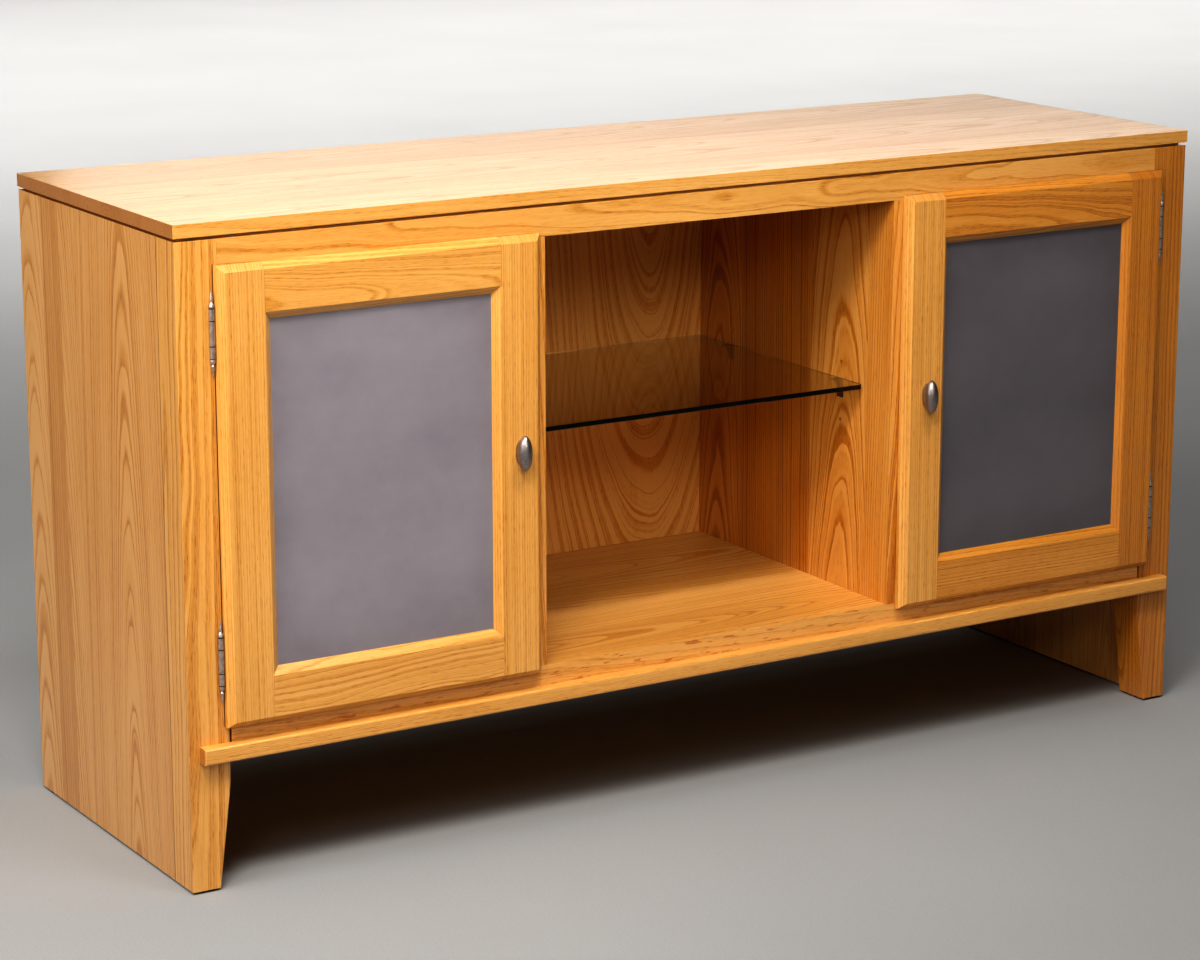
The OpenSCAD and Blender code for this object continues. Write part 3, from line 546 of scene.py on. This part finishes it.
def knob(side):
    """Cast oval knob: a spread foot, a waisted neck and a domed head, lofted through oval rings."""
    low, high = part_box(f"{side}_knob")
    centre = (low + high) / 2
    width, height, proud = high.x - low.x, high.z - low.z, high.y - low.y
    sides = 32
    mesh = bmesh.new()
    loops = []
    for out, wide, tall in knob_profile():
        loop = []
        for i in range(sides):
            turn = 2 * math.pi * i / sides
            x = centre.x + wide * width / 2 * math.cos(turn)
            z = centre.z + tall * height / 2 * math.sin(turn)
            loop.append(mesh.verts.new((x, high.y - out * proud, z)))
        loops.append(loop)
    for a, b in zip(loops, loops[1:]):
        for i in range(sides):
            j = (i + 1) % sides
            mesh.faces.new((a[i], a[j], b[j], b[i]))
    mesh.faces.new(loops[0])
    crown = mesh.verts.new((centre.x, low.y, centre.z))
    for i in range(sides):
        mesh.faces.new((loops[-1][i], loops[-1][(i + 1) % sides], crown))
    for face in mesh.faces:
        face.smooth = len(face.verts) < sides
    made = piece_from(mesh, f"{side}_oval_knob", f"{side}_knob", f"{side}_door")
    smooth = made.modifiers.new("smooth", "SUBSURF")
    smooth.levels = smooth.render_levels = 1
    dress(made, FINISHES["aged_nickel"])


def glass_shelf():
    """Float glass with two rounded front corners and ground edges."""
    low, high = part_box("glass_shelf")
    corner, steps, arris = 7 * MM, 6, 0.9 * MM
    outline = [(low.x, high.y), (high.x, high.y)]
    for x, start in ((high.x - corner, 0), (low.x + corner, -90)):
        for step in range(steps + 1):
            turn = math.radians(start - 90 * step / steps)
            outline.append((x + corner * math.cos(turn), low.y + corner + corner * math.sin(turn)))
    mesh = bmesh.new()
    bottom = mesh.faces.new([mesh.verts.new((x, y, low.z)) for x, y in outline])
    raised = bmesh.ops.extrude_face_region(mesh, geom=[bottom])["geom"]
    for vert in (v for v in raised if isinstance(v, bmesh.types.BMVert)):
        vert.co.z = high.z
    mesh.normal_update()
    painted_frame_shade = [e for e in mesh.edges if len(e.link_faces) == 2 and e.calc_face_angle() > math.radians(60)
           and abs(e.verts[0].co.z - e.verts[1].co.z) < MM]
    bmesh.ops.bevel(mesh, geom=painted_frame_shade, offset=arris, segments=2, affect="EDGES", profile=0.5)
    mesh.normal_update()
    for face in mesh.faces:
        face.material_index = 0 if abs(face.normal.z) > 0.99 else 1
    made = piece_from(mesh, "ground_glass_shelf", "glass_shelf", "carcass")
    dress(made, FINISHES["shelf_glass"])
    made.data.materials.append(glass_edge())


for side in ("left", "right"):
    knob(side)
glass_shelf()


# ---- stage ----


FLOOR_RADIUS = 40.0
FLOOR_DARK = (0.34, 0.335, 0.33)
FLOOR_PALE = (0.42, 0.415, 0.405)
LIGHT_WARM = (1.0, 0.98, 0.95)
STAGE_WHITE = (1.0, 0.985, 0.97, 1.0)
AMBIENT = 0.03
CAMERA_LENS, CAMERA_SENSOR = 100.4, 36.0
CAMERA_PLACE = (-2.3315, -3.7129, 1.4498)
CAMERA_DOWN, CAMERA_RIGHT = 0.2407, 0.5502

# Name, place, target, size, watts, spread in degrees, colour and what the light falls on.
SOFTBOXES = (
    ("key", (-1.5, -1.5, 2.6), (-0.6, -0.1, 0.4), (0.8, 0.5), 14.5, 120, LIGHT_WARM, "all"),
    ("ceiling", (-0.1, -1.3, 2.8), (0.0, -0.1, 0.4), (0.8, 0.35), 6.5, 120, WHITE, "all"),
    ("fill", (-2.4, -1.7, 2.3), (-0.75, -0.1, 0.5), (1.6, 1.2), 7.0, 100, WHITE, "all"),
    ("left", (-2.7, -0.5, 1.5), (-0.75, 0.0, 0.45), (1.2, 1.2), 7.0, 100, WHITE, "all"),
    ("front", (-1.2, -3.4, 2.1), (0.0, 0.0, 0.5), (1.4, 0.7), 3.4, 60, WHITE, "cabinet"),
    ("rear", (2.6, 4.0, 1.95), (0.1, 0.1, 0.8), (3.4, 0.9), 16.0, 180, WHITE, "cabinet"),
    ("wash", (0.0, 0.0, 9.0), (0.0, 0.001, 0.0), (36.0, 36.0), 850.0, 60, WHITE, "ground"),
    ("backdrop", (4.6, 7.6, 6.0), (4.6, 7.601, 0.0), (12.0, 8.0), 450.0, 70, WHITE, "all"),
)


def floor():
    """Plain pale floor with a short, dense pile."""
    g = Graph("floor")
    at = g.place().outputs["Object"]
    tuft = g.noise(at, 320.0, 3.0)
    patch = g.noise(at, 1.5, 2.0)
    shade = g.add(g.scaled(tuft, 0.5, 0.5), g.scaled(patch, 0.3, 0.5), 0.5)
    g.set(Base_Color=g.ramp(shade, [(0.2, FLOOR_DARK), (0.8, FLOOR_PALE)]))
    g.set(Roughness=0.95, Specular_IOR_Level=0.1)
    g.bump(tuft, 1.0 * MM, 0.3)
    mesh = bmesh.new()
    bmesh.ops.create_circle(mesh, cap_ends=True, radius=FLOOR_RADIUS, segments=64)
    data = bpy.data.meshes.new("floor")
    mesh.to_mesh(data)
    mesh.free()
    plane = bpy.data.objects.new("floor", data)
    bpy.context.scene.collection.objects.link(plane)
    dress(plane, g.material)


def softbox(name, place, target, size, watts, spread, colour):
    lamp = bpy.data.lights.new(name, "AREA")
    lamp.shape = "RECTANGLE"
    lamp.size, lamp.size_y = size
    lamp.energy = watts
    lamp.spread = math.radians(spread)
    lamp.color = colour
    holder = bpy.data.objects.new(name, lamp)
    holder.location = place
    holder.rotation_euler = (Vector(target) - Vector(place)).to_track_quat("-Z", "Y").to_euler()
    holder.visible_camera = False
    bpy.context.scene.collection.objects.link(holder)
    return holder


def studio():
    """Soft light from above and the front left. Some lights leave out the floor, one lights only that."""
    world = bpy.data.worlds.new("studio")
    bpy.context.scene.world = world
    world.use_nodes = True
    background = world.node_tree.nodes["Background"]
    background.inputs["Color"].default_value = STAGE_WHITE
    background.inputs["Strength"].default_value = AMBIENT
    lit = {group: bpy.data.collections.new(group) for group in ("cabinet", "ground")}
    for *box, group in SOFTBOXES:
        lamp = softbox(*box)
        if group in lit:
            lamp.light_linking.receiver_collection = lit[group]
    for piece in bpy.context.scene.objects:
        if piece.type == "MESH":
            lit["ground" if piece.name == "floor" else "cabinet"].objects.link(piece)


def camera():
    """A long lens from the front left, a little above the top."""
    lens = bpy.data.cameras.new("camera")
    lens.sensor_width = CAMERA_SENSOR
    lens.lens = CAMERA_LENS
    holder = bpy.data.objects.new("camera", lens)
    holder.location = CAMERA_PLACE
    holder.rotation_euler = (math.radians(90) - CAMERA_DOWN, 0.0, -CAMERA_RIGHT)
    bpy.context.scene.collection.objects.link(holder)
    bpy.context.scene.camera = holder


floor()
studio()
camera()
bpy.context.scene.view_settings.view_transform = "Standard"
bpy.context.scene.view_settings.look = "High Contrast"
